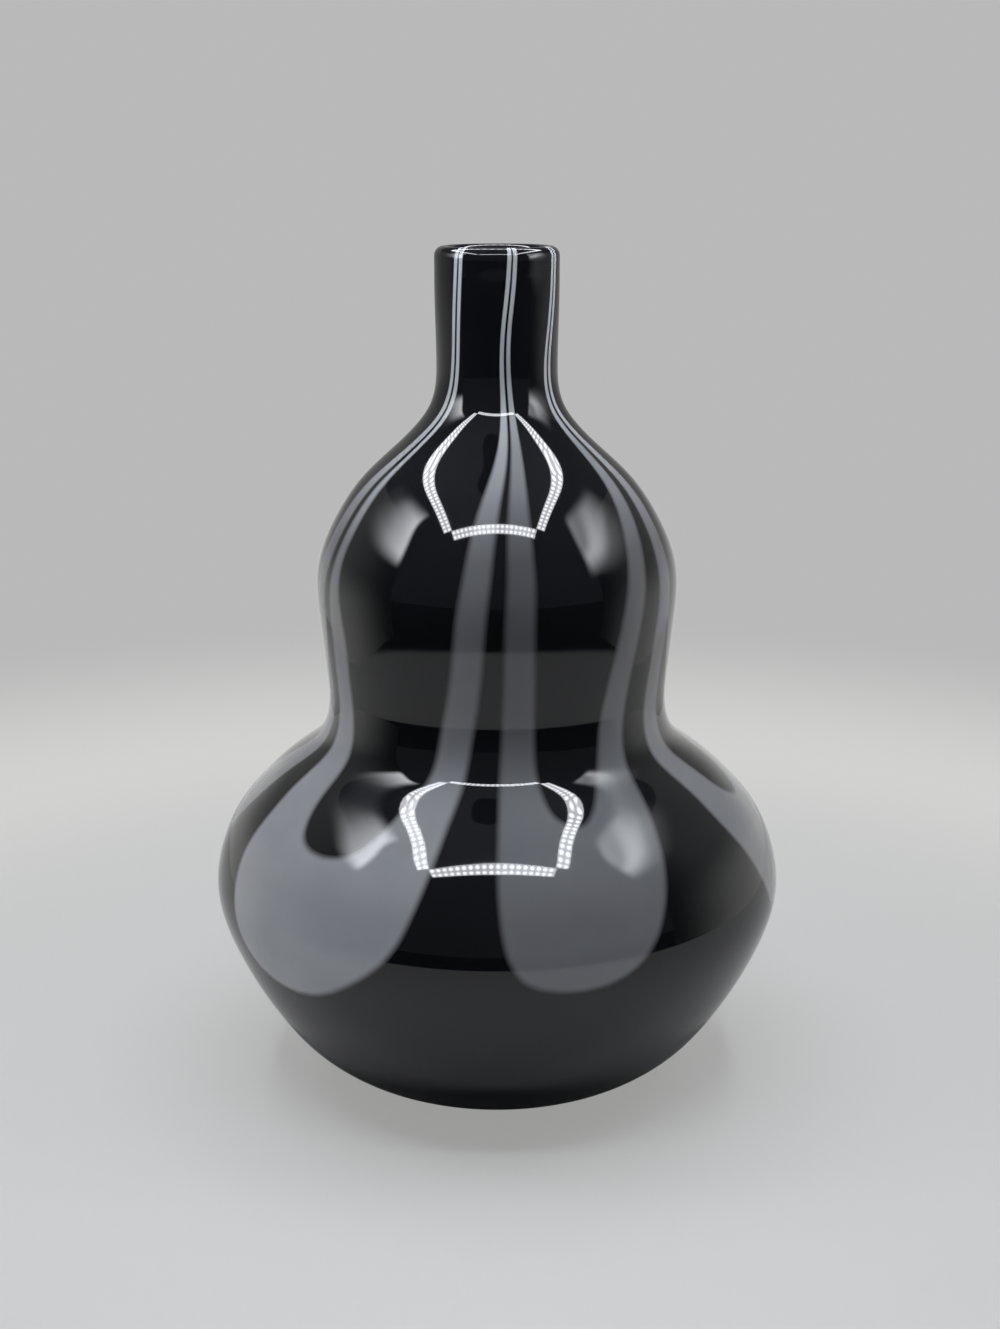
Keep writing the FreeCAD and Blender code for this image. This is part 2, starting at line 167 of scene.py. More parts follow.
petals = {
    # Black lines between the petals: centre azimuth and width in degrees at these heights. Lines 0
    # to 2 were read from the front; lines 3 to 5 are out of sight there and follow the same manner.
    "lineHeights": [230, 220, 210, 200, 190, 180, 170, 160, 150, 140, 130, 120, 110],
    "lines": [
        {"at": [-36, -38.3, -40.4, -42.3, -47, -55.8, -61.7, -64, -65, -66, -66.7, -67.4, -68],
         "width": [0.7, 1.0, 1.3, 1.5, 1.8, 2.4, 3, 3, 3, 4, 4.3, 4.6, 5]},
        {"at": [14.4, 12.2, 8.6, 7.5, 8.9, 7.4, 3.6, 1.5, 0.6, -0.4, -1, -1.8, -3.0],
         "width": [0.6, 1.0, 1.3, 1.5, 1.4, 1.4, 2.5, 3.5, 4.5, 5.1, 5.8, 6.9, 8.4]},
        {"at": [64, 62.0, 58.4, 54.6, 57.2, 62.6, 62.6, 60.6, 57.6, 55.2, 53.6, 52, 51],
         "width": [1.0, 1.3, 1.6, 1.8, 2.2, 3.0, 4.3, 6.0, 7.6, 8.5, 9.4, 10.2, 11]},
        {"at": [129, 124, 120.5, 119, 120, 122, 120.5, 118, 115.9, 114, 112.4, 111, 110],
         "width": [0.8, 1.1, 1.4, 1.6, 1.8, 2.2, 3.0, 4.0, 5.0, 5.8, 6.6, 7.6, 8.8]},
        {"at": [187, 183, 180.2, 179, 178.5, 177.8, 176.6, 175.4, 174.2, 172.9, 171.5, 170.2, 169],
         "width": [1.3, 1.3, 1.4, 1.5, 1.6, 1.9, 2.6, 3.4, 4.2, 4.8, 5.5, 6.4, 7.6]},
        {"at": [257, 253, 250.4, 249.2, 248.7, 246.3, 242.3, 238.6, 236, 234, 232.1, 230.5, 229],
         "width": [0.9, 1.2, 1.5, 1.7, 2.0, 2.5, 3.3, 4.4, 5.5, 6.3, 7.2, 8.3, 9.6]},
    ],
    # Width of one trail at the same heights. The first petal's left one is slimmer by this share
    # between the last two of the slim heights, and wide again below the first of them.
    "trailWidths": [4.6, 4.5, 4.4, 4.6, 5.4, 6.6, 7.8, 8.8, 9.1, 9.5, 9.9, 10.4, 11],
    "slimShare": 0.62,
    "slimHeights": (130, 150, 185),
    # Each petal from 100 mm down: the outer edge down its left, round its drop and up its right,
    # then the notch between its trails in the same order, as azimuth and height
    "shapes": [
        {"drop": [(-65.9, 100), (-65.4, 90), (-65.1, 80), (-64.9, 70), (-63.2, 60), (-60, 51.5),
                  (-54, 45.6), (-46, 43.5), (-37, 45.2), (-29.2, 50.5), (-20.6, 60), (-16.4, 70),
                  (-13.8, 80), (-11.6, 90), (-9.1, 100)],
         "notch": [(-53.2, 100), (-51.6, 93), (-49.6, 86), (-45.6, 81.4), (-40, 80.3),
                   (-34.5, 81.3), (-29.6, 85), (-24.8, 92), (-20.3, 100)]},
        {"drop": [(0.6, 100), (0.1, 90), (0.0, 80), (0.6, 70), (2.3, 61), (5.9, 55.2), (14.5, 52.6),
                  (23, 54.4), (29.2, 60), (34, 70), (37.5, 80), (41, 90), (44.3, 100)],
         "notch": [(12.4, 100), (13.4, 94.5), (16.2, 90.6), (20, 89.4), (24.2, 91.2),
                   (28.6, 95.2), (32.6, 101)]},
        {"drop": [(57.2, 100), (59.0, 90), (61, 80), (64.6, 70), (69.4, 59), (75.5, 51),
                  (83.5, 47.6), (91.5, 51), (97.2, 59.5), (99.8, 70), (101.6, 80), (102.8, 90),
                  (104.2, 100)],
         "notch": [(69.0, 100), (71.3, 92), (74.8, 86.2), (80.5, 83.9), (86.3, 86.4),
                   (90.4, 92), (93, 100)]},
        {"drop": [(114.8, 100), (115.4, 90), (116.4, 80), (118.4, 70), (121.6, 58), (127, 48.4),
                  (137.5, 44.3), (147.8, 47.8), (153.6, 57.5), (156.2, 70), (158.6, 80),
                  (161.2, 90), (163.6, 100)],
         "notch": [(126.2, 100), (128, 91), (131.4, 84.2), (137.4, 81.8), (143.6, 84),
                   (148.4, 91), (151.8, 100)]},
        {"drop": [(172.4, 100), (174.2, 90), (177, 80), (180.8, 70), (186.2, 60), (193, 53.4),
                  (200, 51.3), (207.4, 53.6), (213, 61), (216.2, 70), (218.6, 80), (220.8, 90),
                  (222.8, 100)],
         "notch": [(184.2, 100), (186.8, 94), (190.8, 89.6), (196.4, 88.1), (202.2, 89.8),
                   (207, 94.6), (210.6, 101)]},
        {"drop": [(233.7, 100), (234.6, 90), (236.4, 80), (239, 70), (243.4, 58.5), (250, 50),
                  (258.5, 46.6), (268, 49.4), (274.8, 58), (278.2, 70), (281.2, 80),
                  (284, 90), (287.2, 100)],
         "notch": [(245.6, 100), (248, 92.5), (252.2, 87), (258.4, 85.3), (265.4, 87.4),
                   (270.6, 92.6), (274.6, 100)]},
    ],
    # How much the white shows over the black, as a share, at these heights, and then how much more
    # or less of it there is in each petal's left trail, right trail and drop. This is partly the
    # white's own thickness and partly painted light and shade: lighter on the neck and shoulder,
    # darker round the upper bulb, and lighter on some trails than on others.
    "whiteHeights": [40, 50, 60, 70, 80, 95, 110, 125, 140, 155, 168, 180, 190, 230],
    "whiteAndShadeByHeight": [0.46, 0.43, 0.37, 0.29, 0.26, 0.22, 0.20, 0.16, 0.14, 0.12, 0.20, 0.31, 0.48,
                     0.60],
    "whiteAndLightByTrail": [(1.75, 1.25, 1.42), (0.88, 1.15, 0.72), (1.4, 1.1, 1.0), (1.0, 1.0, 1.1),
                     (1.1, 1.0, 1.15), (1.0, 1.4, 0.95)],
    # The drop's share turns into the trails' between the first two heights, and that into the
    # neck's, which follows the trails' by a share, between the last two.
    "whiteAndShadeHeights": [78, 112, 178, 194],
    "neckShare": 0.2,
    # How far in from its outline the white thins out, on the neck and on the belly, and the radii
    # that count as neck and belly. The outline lies further out by a share of that.
    "featherNear": 0.25,
    "featherFar": 2.5,
    "featherRadii": (16, 48),
    "softEdgeShare": 0.4,
    "outlineStep": 1.1,
    "featherRows": (0.33, 0.66, 1.0),
    "clearOfCrest": 0.2,    # rows inside an outline end this far below the lip's crest
}

# For meshing the skin is unrolled, at so many millimetres to a degree across and at its true
# length up and down. It is cut open along line 4 and on down these azimuths and heights.
planeScale = 0.8
planeWidth = 360 * planeScale
seamTail = [(168.2, 95), (167, 75), (166, 45), (166, 0)]
seamHead = list(zip(petals["lines"][4]["at"], petals["lineHeights"]))
seamPoints = [(a * planeScale, alongAt(h)) for a, h in seamHead + seamTail]
seamEnds, seamLine = splineThrough(seamPoints)
seamPlaces = seamLine(np.linspace(seamEnds[-1], 0, 3000))[0]


# where the skin is cut open, as an azimuth, at a distance along the outline
def seamAt(along):
    return np.interp(along, seamPlaces[:, 1], seamPlaces[:, 0]) / planeScale


# how far in from a petal's outline the white thins out, at a distance along the outline
def featherAt(along):
    neckRadius, bellyRadius = petals["featherRadii"]
    radius = outside(along)[0][:, 0]
    share = np.clip((radius - neckRadius) / (bellyRadius - neckRadius), 0, 1)
    return petals["featherNear"] + (petals["featherFar"] - petals["featherNear"]) * share


# a petal's two long edges in the unrolled skin: round its drop, and back round its notch
def petalOutline(number):
    left = petals["lines"][number]
    right = petals["lines"][(number + 1) % petalCount]
    turn = 360 if number == petalCount - 1 else 0
    fullBelow, slimAbove, fullAbove = petals["slimHeights"]
    outerLeft = []
    innerLeft = []
    outerRight = []
    innerRight = []
    for i, height in enumerate(petals["lineHeights"]):
        trail = petals["trailWidths"][i]
        slim = 1
        if number == 0 and height <= fullAbove:
            slim = np.interp(height, [fullBelow, slimAbove], [1, petals["slimShare"]])
        a = left["at"][i] + left["width"][i] / 2
        b = right["at"][i] + turn - right["width"][i] / 2
        outerLeft.append((a, height))
        innerLeft.append((a + trail * slim, height))
        outerRight.append((b, height))
        innerRight.append((b - trail, height))
    shape = petals["shapes"][number]
    curves = []
    for start, middle, end in ((outerLeft, shape["drop"], outerRight),
                               (innerLeft, shape["notch"], innerRight)):
        points = [(a * planeScale, alongAt(h)) for a, h in start + middle + end[::-1]]
        at, read = splineThrough(points)
        count = int(at[-1] / petals["outlineStep"])
        curve, slope = read(np.linspace(0, at[-1], count))
        # the white thins out over its soft edge, so its outline lies a little outside
        widen = petals["softEdgeShare"] * (featherAt(curve[:, 1]) - petals["featherNear"])
        widen *= 1 if middle is shape["drop"] else -1
        scale = np.radians(outside(curve[:, 1])[0][:, 0]) / planeScale
        slope[:, 0] *= scale
        slope /= np.linalg.norm(slope, axis=1)[:, None]
        curve[:, 0] += slope[:, 1] * widen / scale
        curve[:, 1] -= slope[:, 0] * widen
        curve[:, 1] = np.minimum(curve[:, 1], crestAt)
        curve[0, 1] = curve[-1, 1] = crestAt
        curves.append(curve)
    return curves[0], curves[1][::-1]


# place and normal on the skin for an azimuth and a distance along the outline
def skinPoint(azimuth, along, inset=0.0):
    place, slope = outside(along)
    slope = slope / np.linalg.norm(slope, axis=1)[:, None]
    out, up = slope[:, 1], -slope[:, 0]
    radius = place[:, 0] - inset * out
    height = place[:, 1] - inset * up
    angle = np.radians(azimuth)
    x, y = np.sin(angle), -np.cos(angle)
    points = np.stack([radius * x, radius * y, height], axis=1)
    normals = np.stack([out * x, out * y, up], axis=1)
    return points, normals


# Unrolled skin: grid points, petal outlines as fixed edges, and three rows inside each outline
skinStartAt = alongAt(vase["skinStart"])
lipStartAt = alongAt(vase["lipCentre"][1] - 1)
rowCount = int((lipStartAt - skinStartAt) / vase["rowStep"])
rows = np.concatenate([np.linspace(skinStartAt, lipStartAt, rowCount),
                       np.linspace(lipStartAt, crestAt, vase["lipRows"])[1:]])
flat = []
edges = []
faces = []
longEdges = []
for number in range(petalCount):
    outer, inner = petalOutline(number)
    ring = np.concatenate([outer, inner])
    ring[:, 0] -= seamAt(ring[:, 1]) * planeScale
    if ring[:, 0].max() < 0:
        ring[:, 0] += planeWidth
    if ring[:, 0].min() < -1:
        ring[:, 0] += planeWidth
    start = len(flat)
    count = len(ring)
    flat += [tuple(p) for p in ring]
    faces.append([start + i for i in range(count)])
    edges += [(start + i, start + (i + 1) % count) for i in range(count)]
    # the rows inside the outline, in true distance on the skin
    area = np.sum(ring[:, 0] * np.roll(ring[:, 1], -1) - np.roll(ring[:, 0], -1) * ring[:, 1])
    inward = 1 if area > 0 else -1
    radii = outside(ring[:, 1])[0][:, 0]
    trueScale = np.radians(radii) / planeScale
    tangent = np.roll(ring, -1, axis=0) - np.roll(ring, 1, axis=0)
    tangent[:, 0] *= trueScale
    tangent /= np.linalg.norm(tangent, axis=1)[:, None]
    normal = np.stack([-tangent[:, 1], tangent[:, 0]], axis=1) * inward
    feather = featherAt(ring[:, 1])
    long = np.ones(count, bool)
    long[[0, len(outer) - 1, len(outer), count - 1]] = False
    for share in petals["featherRows"]:
        offset = normal * (feather * share)[:, None]
        offset[:, 0] /= trueScale
        shifted = ring + offset
        flat += [tuple(p) for p in shifted[long]
                 if p[1] < crestAt - petals["clearOfCrest"]]
    for plane in (outer, inner):
        points, _ = skinPoint(plane[:, 0] / planeScale, plane[:, 1])
        for part in (0, 0.2, 0.4, 0.6, 0.8):
            longEdges += list(points[:-1] + (points[1:] - points[:-1]) * part)


# a tree that finds the nearest of some points
def nearestOf(points):
    tree = KDTree(len(points))
    for i, p in enumerate(points):
        tree.insert(p, i)
    tree.balance()
    return tree


edgeTree = nearestOf(longEdges)
petalTree = nearestOf([(x, y, 0) for x, y in flat])
for row in rows:
    for column in range(vase["columns"] + 1):
        x = planeWidth * column / vase["columns"]
        border = row in (rows[0], rows[-1]) or column in (0, vase["columns"])
        gap = petalTree.find((x, row, 0))[2]
        if gap > vase["clearOfPetalAtBorder" if border else "clearOfPetal"]:
            flat.append((x, float(row)))
print("skin points", len(flat))

# each triangle belongs to the petal whose outline it lies in, or with -1 to the black glass
made = delaunay_2d_cdt([Vector(p) for p in flat], edges, faces, 0, 1e-5)
skinFlat = np.array([tuple(p) for p in made[0]])
skinFaces = [tuple(f) for f in made[2]]
skinOwner = [owners[0] if owners else -1 for owners in made[5]]
print("skin triangles", len(skinFaces), "by piece",
      [skinOwner.count(n) for n in range(-1, petalCount)])

# close the seam: points on its far side are the points on its near side
alongs = np.clip(skinFlat[:, 1], skinStartAt, crestAt)
azimuths = skinFlat[:, 0] / planeScale + seamAt(alongs)
nearSide = {round(alongs[i], 4): i for i in range(len(skinFlat)) if skinFlat[i, 0] < touching}
weld = list(range(len(skinFlat)))
for i in range(len(skinFlat)):
    if skinFlat[i, 0] > planeWidth - touching:
        weld[i] = nearSide[round(alongs[i], 4)]
skinFaces = [tuple(weld[v] for v in face) for face in skinFaces]
owned = [(face, owner) for face, owner in zip(skinFaces, skinOwner) if len(set(face)) == 3]
skinFaces = [face for face, _ in owned]
skinOwner = [owner for _, owner in owned]

# the skin, the bed that the white lies in and the underside of the white
topPoints, topNormals = skinPoint(azimuths, alongs)
bedPoints, _ = skinPoint(azimuths, alongs, vase["inlayDepth"])
underPoints, _ = skinPoint(azimuths, alongs, vase["petalDepth"])

# whose triangle lies on the left of each edge
edgeOwners = {}
for face, owner in zip(skinFaces, skinOwner):
    for a, b in zip(face, face[1:] + face[:1]):
        edgeOwners.setdefault((a, b), owner)


# collects the points, normals and faces of one closed mesh
class Builder:
    def __init__(self):
        self.points = []
        self.normals = []
        self.faces = []
        self.values = []

    def point(self, place, normal, value=(0.0, 0.0)):
        self.points.append(tuple(c * mm for c in place))
        self.normals.append(tuple(normal))
        self.values.append(value)
        return len(self.points) - 1

    def face(self, corners):
        corners = [c for i, c in enumerate(corners) if c != corners[i - 1]]
        if len(corners) > 2:
            self.faces.append(tuple(corners))

    def finish(self, name, attributes=()):
        mesh = bpy.data.meshes.new(name)
        mesh.from_pydata(self.points, [], self.faces)
        mesh.validate()
        mesh.shade_smooth()
        mesh.normals_split_custom_set_from_vertices(self.normals)
        for order, attribute in enumerate(attributes):
            layer = mesh.attributes.new(attribute, "FLOAT", "POINT")
            layer.data.foreach_set("value", np.array(self.values, np.float32)[:, order].copy())
        piece = bpy.data.objects.new(name, mesh)
        bpy.context.collection.objects.link(piece)
        return piece


# Black glass vessel
vessel = Builder()
topIndex = {}
bedIndex = {}
for face, owner in zip(skinFaces, skinOwner):
    store, source = (topIndex, topPoints) if owner < 0 else (bedIndex, bedPoints)
    for v in face:
        if v not in store:
            store[v] = vessel.point(source[v], topNormals[v])
    vessel.face([store[v] for v in face])


# the vessel's point on the skin, made when it is first needed
def topOf(v):
    if v not in topIndex:
        topIndex[v] = vessel.point(topPoints[v], topNormals[v])
    return topIndex[v]


# rings of faces from a row of skin points along a turned profile, closed where it meets the axis
def turnedRows(skinRow, profile, normals, reverse):
    previous = [topOf(v) for v in skinRow]
    for (radius, height), (out, up) in zip(profile, normals):
        if radius < touching:
            row = [vessel.point((0, 0, height), (0, 0, up))] * len(skinRow)
        else:
            row = []
            for v in skinRow:
                x = math.sin(math.radians(azimuths[v]))
                y = -math.cos(math.radians(azimuths[v]))
                row.append(vessel.point((radius * x, radius * y, height), (out * x, out * y, up)))
        for i in range(len(row)):
            j = (i + 1) % len(row)
            corners = [previous[i], previous[j], row[j], row[i]]
            vessel.face(corners[::-1] if reverse else corners)
        previous = row


# walls of the beds that the petals lie in
for (a, b), owner in edgeOwners.items():
    if owner >= 0 and edgeOwners.get((b, a)) != owner:
        vessel.face([bedIndex[b], bedIndex[a], topOf(a), topOf(b)])


# skin points on one end of the skin, in order round the axis
def borderRow(along):
    found = {weld[i] for i in range(len(skinFlat)) if abs(skinFlat[i, 1] - along) < touching}
    return sorted(found, key=lambda v: skinFlat[v, 0])


lipRow = borderRow(rows[-1])
footRow = borderRow(rows[0])

# over the lip and down the cavity to its floor
lipInside, lipNormals = lipRound(100, 180)
cavityAt, cavity = splineThrough(vase["cavity"])
cavitySteps = np.linspace(0, cavityAt[-1], vase["cavityRows"])
cavityPlaces, cavitySlopes = cavity(cavitySteps)
cavitySlopes /= np.linalg.norm(cavitySlopes, axis=1)[:, None]
cavityPlaces[-1] = (0, vase["cavity"][-1][1])
cavityNormals = [(slope[1], -slope[0]) for slope in cavitySlopes]
turnedRows(lipRow, lipInside + [tuple(p) for p in cavityPlaces], lipNormals + cavityNormals,
           False)

# down the underside, round the foot ring and into its dimple
downAt = np.linspace(skinStartAt, outsideAt[0], vase["undersideRows"])[1:-1]
downPlaces, downSlopes = outside(downAt)
downSlopes /= np.linalg.norm(downSlopes, axis=1)[:, None]
ringInner, ringOuter = vase["footRing"]
soft = vase["footRound"]
under = [tuple(p) for p in downPlaces]
underNormals = [(slope[1], -slope[0]) for slope in downSlopes]
under += [(ringOuter + 0.5, 1.25), (ringOuter, 1.0), (ringOuter, soft)]
underNormals += [(0.45, -0.89), (0.9, -0.43), (1, 0)]
for a in (22, 45, 68, 90):
    cosine, sine = math.cos(math.radians(a)), math.sin(math.radians(a))
    under.append((ringOuter - soft + soft * cosine, soft - soft * sine))
    underNormals.append((cosine, -sine))
under += [(ringInner + 1, 0), (ringInner, 0.02), (ringInner - 1, 0.2)]
underNormals += [(0, -1), (-0.1, -0.99), (-0.18, -0.98)]
for share in (0.85, 0.7, 0.5, 0.3, 0.12, 0):
    under.append((ringInner * share, vase["dimple"] * (1 - share ** 2)))
    slant = 2 * vase["dimple"] * share / ringInner
    underNormals.append((-slant, -1))
turnedRows(footRow, under, underNormals, True)
glassVessel = vessel.finish("glassVessel")
print("vessel faces", len(glassVessel.data.polygons))


# how much the white shows at a place in a petal, partly its thickness and partly painted light and
# shade
def whiteAndShadeAt(number, azimuth, height):
    heights = petals["lineHeights"][::-1]
    start = np.interp(height, heights, petals["lines"][number]["at"][::-1])
    end = np.interp(height, heights, petals["lines"][(number + 1) % petalCount]["at"][::-1])
    end += 360 if number == petalCount - 1 else 0
    turned = azimuth + 360 * round(((start + end) / 2 - azimuth) / 360)
    across = min(1, max(0, (turned - start) / (end - start)))
    left, right, drop = petals["whiteAndLightByTrail"][number]
    trail = left + (right - left) * across
    atNeck = 1 + (trail - 1) * petals["neckShare"]
    share = np.interp(height, petals["whiteAndShadeHeights"], [drop, trail, trail, atNeck])
    return float(np.interp(height, petals["whiteHeights"], petals["whiteAndShadeByHeight"]) * share)


# White glass petals
petalPieces = []
for number in range(petalCount):
    piece = Builder()
    top = {}
    low = {}
    for face, owner in zip(skinFaces, skinOwner):
        if owner != number:
            continue
        for v in face:
            if v not in top:
                gap = edgeTree.find(Vector(topPoints[v]))[2]
                share = min(1.0, gap / float(featherAt(alongs[v])[0]))
                whiteAndShade = whiteAndShadeAt(number, azimuths[v], topPoints[v][2])
                top[v] = piece.point(topPoints[v], topNormals[v], (share, whiteAndShade))
                low[v] = piece.point(underPoints[v], -topNormals[v], (share, whiteAndShade))
        piece.face([top[v] for v in face])
        piece.face([low[v] for v in face][::-1])
    for (a, b), owner in edgeOwners.items():
        if owner == number and edgeOwners.get((b, a)) != number:
            piece.face([top[b], top[a], low[a], low[b]])
    petalPieces.append(piece.finish(f"glassPetal{number + 1}", ("edgeShare", "whiteAndShadeShare")))
    print("petal", number + 1, "faces", len(petalPieces[-1].data.polygons))

# black glass, blown and fire polished: nearly opaque, a clean gloss. Sizes are in millimetres.
blackLook = {
    "body": "#0b0c0e",
    "streak": "#131518",
    "roughness": 0.035,
    "roughSpread": 0.03,
    "ior": 1.50,
    "swellSize": 34.0,
    "swellHeight": 0.012,
    "glossSize": 9.0,
    "streakSize": 25.0,
}
# white glass, drawn thin over black and fire polished: milky, thinner and bluer at its edges
whiteLook = {
    "body": "#e9ebee",
    "cloud": "#cdd2d9",
    "edge": "#0c0d10",
    "cloudSize": 16.0,
}


# the polished gloss that both glasses share, with a faint swell and a faint change of gloss
def glassSurface(tree, colour):
    look = blackLook
    coords = addNode(tree, "ShaderNodeTexCoord").outputs["Object"]
    fine = addNode(tree, "ShaderNodeTexNoise",
                   {"Scale": 1 / (look["glossSize"] * mm), "Detail": 2.0}, {"Vector": coords})
    rough = addNode(tree, "ShaderNodeMapRange",
                    {"To Min": look["roughness"] - look["roughSpread"] / 2,
                     "To Max": look["roughness"] + look["roughSpread"] / 2},
                    {"Value": fine.outputs["Fac"]})
    swell = addNode(tree, "ShaderNodeTexNoise",
                    {"Scale": 1 / (look["swellSize"] * mm), "Detail": 0.0}, {"Vector": coords})
    bump = addNode(tree, "ShaderNodeBump", {"Distance": look["swellHeight"] * mm, "Strength": 1.0},
                   {"Height": swell.outputs["Fac"]})
    surface = addNode(tree, "ShaderNodeBsdfPrincipled", {"IOR": look["ior"]},
                      {"Base Color": colour, "Roughness": rough.outputs["Result"],
                       "Normal": bump.outputs["Normal"]})
    addNode(tree, "ShaderNodeOutputMaterial", None, {"Surface": surface.outputs["BSDF"]})


blackGlass, blackTree = newMaterial("black_glass_blown_fire_polished")
coords = addNode(blackTree, "ShaderNodeTexCoord").outputs["Object"]
streaks = addNode(blackTree, "ShaderNodeTexNoise",
                  {"Scale": 1 / (blackLook["streakSize"] * mm), "Detail": 3.0},
                  {"Vector": coords})
blackColour = addNode(blackTree, "ShaderNodeMix",
                      {"data_type": "RGBA", 6: srgb(blackLook["body"]),
                       7: srgb(blackLook["streak"])}, {0: streaks.outputs["Fac"]})
glassSurface(blackTree, blackColour.outputs[2])

whiteGlass, whiteTree = newMaterial("white_glass_blown_drawn_flush")
coords = addNode(whiteTree, "ShaderNodeTexCoord").outputs["Object"]
clouds = addNode(whiteTree, "ShaderNodeTexNoise",
                 {"Scale": 1 / (whiteLook["cloudSize"] * mm), "Detail": 3.0}, {"Vector": coords})
milk = addNode(whiteTree, "ShaderNodeMix",
               {"data_type": "RGBA", 6: srgb(whiteLook["body"]), 7: srgb(whiteLook["cloud"])},
               {0: clouds.outputs["Fac"]})
share = addNode(whiteTree, "ShaderNodeAttribute", {"attribute_name": "edgeShare"})
fade = addNode(whiteTree, "ShaderNodeMapRange", {"interpolation_type": "SMOOTHSTEP"},
               {"Value": share.outputs["Fac"]})
# the white's share: partly its thickness, partly painted light and shade by height and trail
whiteAndShade = addNode(whiteTree, "ShaderNodeAttribute", {"attribute_name": "whiteAndShadeShare"})
whiteAndShadeShown = addNode(whiteTree, "ShaderNodeMath", {"operation": "MULTIPLY", "use_clamp": True},
                {0: fade.outputs["Result"], 1: whiteAndShade.outputs["Fac"]})
whiteColour = addNode(whiteTree, "ShaderNodeMix",
                      {"data_type": "RGBA", 6: srgb(whiteLook["edge"])},
                      {0: whiteAndShadeShown.outputs[0], 7: milk.outputs[2]})
glassSurface(whiteTree, whiteColour.outputs[2])

glassVessel.data.materials.append(blackGlass)
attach(glassVessel, "root")
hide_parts("black_glass_vessel")
for number, piece in enumerate(petalPieces, start=1):
    piece.data.materials.append(whiteGlass)
    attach(piece, "root")
    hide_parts(f"white_petal_{number}")
print("glass done")


# Room: a pale floor, and round it only what the glass mirrors: a dark roof with a round opening, a
# frame of small lamps under it, soft bright patches on both sides, a pale back and a dark front.
# Ranges are pairs of metres in which one look turns into the next.

# a flat four cornered piece that stands round the vase
def flatPiece(name, corners, material, camera=False):
    mesh = bpy.data.meshes.new(name)
    mesh.from_pydata(corners, [], [(0, 1, 2, 3)])
    mesh.materials.append(material)
    piece = bpy.data.objects.new(name, mesh)
    bpy.context.collection.objects.link(piece)
    piece.visible_camera = camera
    return piece


# corners of a level piece that faces down
def level(x0, x1, y0, y1, z):
    return [(x0, y0, z), (x0, y1, z), (x1, y1, z), (x1, y0, z)]


# corners of an upright piece that faces along X
def upright(x, y0, y1, z0, z1):
    return [(x, y0, z0), (x, y1, z0), (x, y1, z1), (x, y0, z1)]


# painted board for the floor. Only what is seen directly goes on past its lit part, and the glow
# that makes it pale is seen directly or mirrored but lights nothing.
floorLook = {
    "halfSide": 4.0,
    "near": "#d2d2d1",
    "far": "#b9b9b9",
    "farReach": (0.30, 0.56),
    "unlit": "#101010",
    "litReach": 0.35,
    "litEdge": 0.004,
    "litBehind": 0.03,    # the lit part's round front is centred this far behind the axis
    "glow": 0.5,
    "glowReach": (0.16, 0.32),
    "mirroredGlow": 0.55,
    "mirroredReach": (0.07, 0.26),
}
side = floorLook["halfSide"]
floorMaterial, tree = newMaterial("painted_board_matt")
where = addNode(tree, "ShaderNodeNewGeometry").outputs["Position"]
reach = addNode(tree, "ShaderNodeVectorMath", {"operation": "LENGTH"}, {0: where})
far = addNode(tree, "ShaderNodeMapRange",
              {"interpolation_type": "SMOOTHSTEP", "From Min": floorLook["farReach"][0],
               "From Max": floorLook["farReach"][1]}, {"Value": reach.outputs["Value"]})
floorColour = addNode(tree, "ShaderNodeMix",
                      {"data_type": "RGBA", 6: srgb(floorLook["near"]),
                       7: srgb(floorLook["far"])}, {0: far.outputs["Result"]})
path = addNode(tree, "ShaderNodeLightPath")
ahead = addNode(tree, "ShaderNodeVectorMath",
                {"operation": "MINIMUM", 1: (side, floorLook["litBehind"], side)}, {0: where})
aside = addNode(tree, "ShaderNodeVectorMath",
                {"operation": "DISTANCE", 1: (0, floorLook["litBehind"], 0)},
                {0: ahead.outputs[0]})
lit = addNode(tree, "ShaderNodeMapRange",
              {"From Min": floorLook["litReach"] - floorLook["litEdge"],
               "From Max": floorLook["litReach"] + floorLook["litEdge"],
               "To Min": 1.0, "To Max": 0.0}, {"Value": aside.outputs["Value"]})
shown = addNode(tree, "ShaderNodeMath", {"operation": "MAXIMUM"},
                {0: lit.outputs["Result"], 1: path.outputs["Is Camera Ray"]})
painted = addNode(tree, "ShaderNodeMix", {"data_type": "RGBA", 6: srgb(floorLook["unlit"])},
                  {0: shown.outputs[0], 7: floorColour.outputs[2]})
near = addNode(tree, "ShaderNodeMapRange",
               {"interpolation_type": "SMOOTHSTEP", "From Min": floorLook["glowReach"][0],
                "From Max": floorLook["glowReach"][1], "To Min": floorLook["glow"],
                "To Max": 1.0}, {"Value": reach.outputs["Value"]})
seen = addNode(tree, "ShaderNodeMath", {"operation": "MULTIPLY"},
               {0: near.outputs["Result"], 1: path.outputs["Is Camera Ray"]})
# In what the glass mirrors, the floor's glow fades out towards the foot: painted shade round the
# foot, added to the real shadow there
beyond = addNode(tree, "ShaderNodeMapRange",
                 {"interpolation_type": "SMOOTHSTEP",
                  "From Min": floorLook["mirroredReach"][0],
                  "From Max": floorLook["mirroredReach"][1],
                  "To Min": 0.0, "To Max": floorLook["mirroredGlow"]},
                 {"Value": reach.outputs["Value"]})
mirrored = addNode(tree, "ShaderNodeMath", {"operation": "MULTIPLY"},
                   {0: beyond.outputs["Result"], 1: path.outputs["Is Glossy Ray"]})
strength = addNode(tree, "ShaderNodeMath", {"operation": "MAXIMUM"},
                   {0: seen.outputs[0], 1: mirrored.outputs[0]})
board = addNode(tree, "ShaderNodeBsdfDiffuse", None, {"Color": painted.outputs[2]})
glow = addNode(tree, "ShaderNodeEmission", {"Strength": 1.0}, {"Color": painted.outputs[2]})
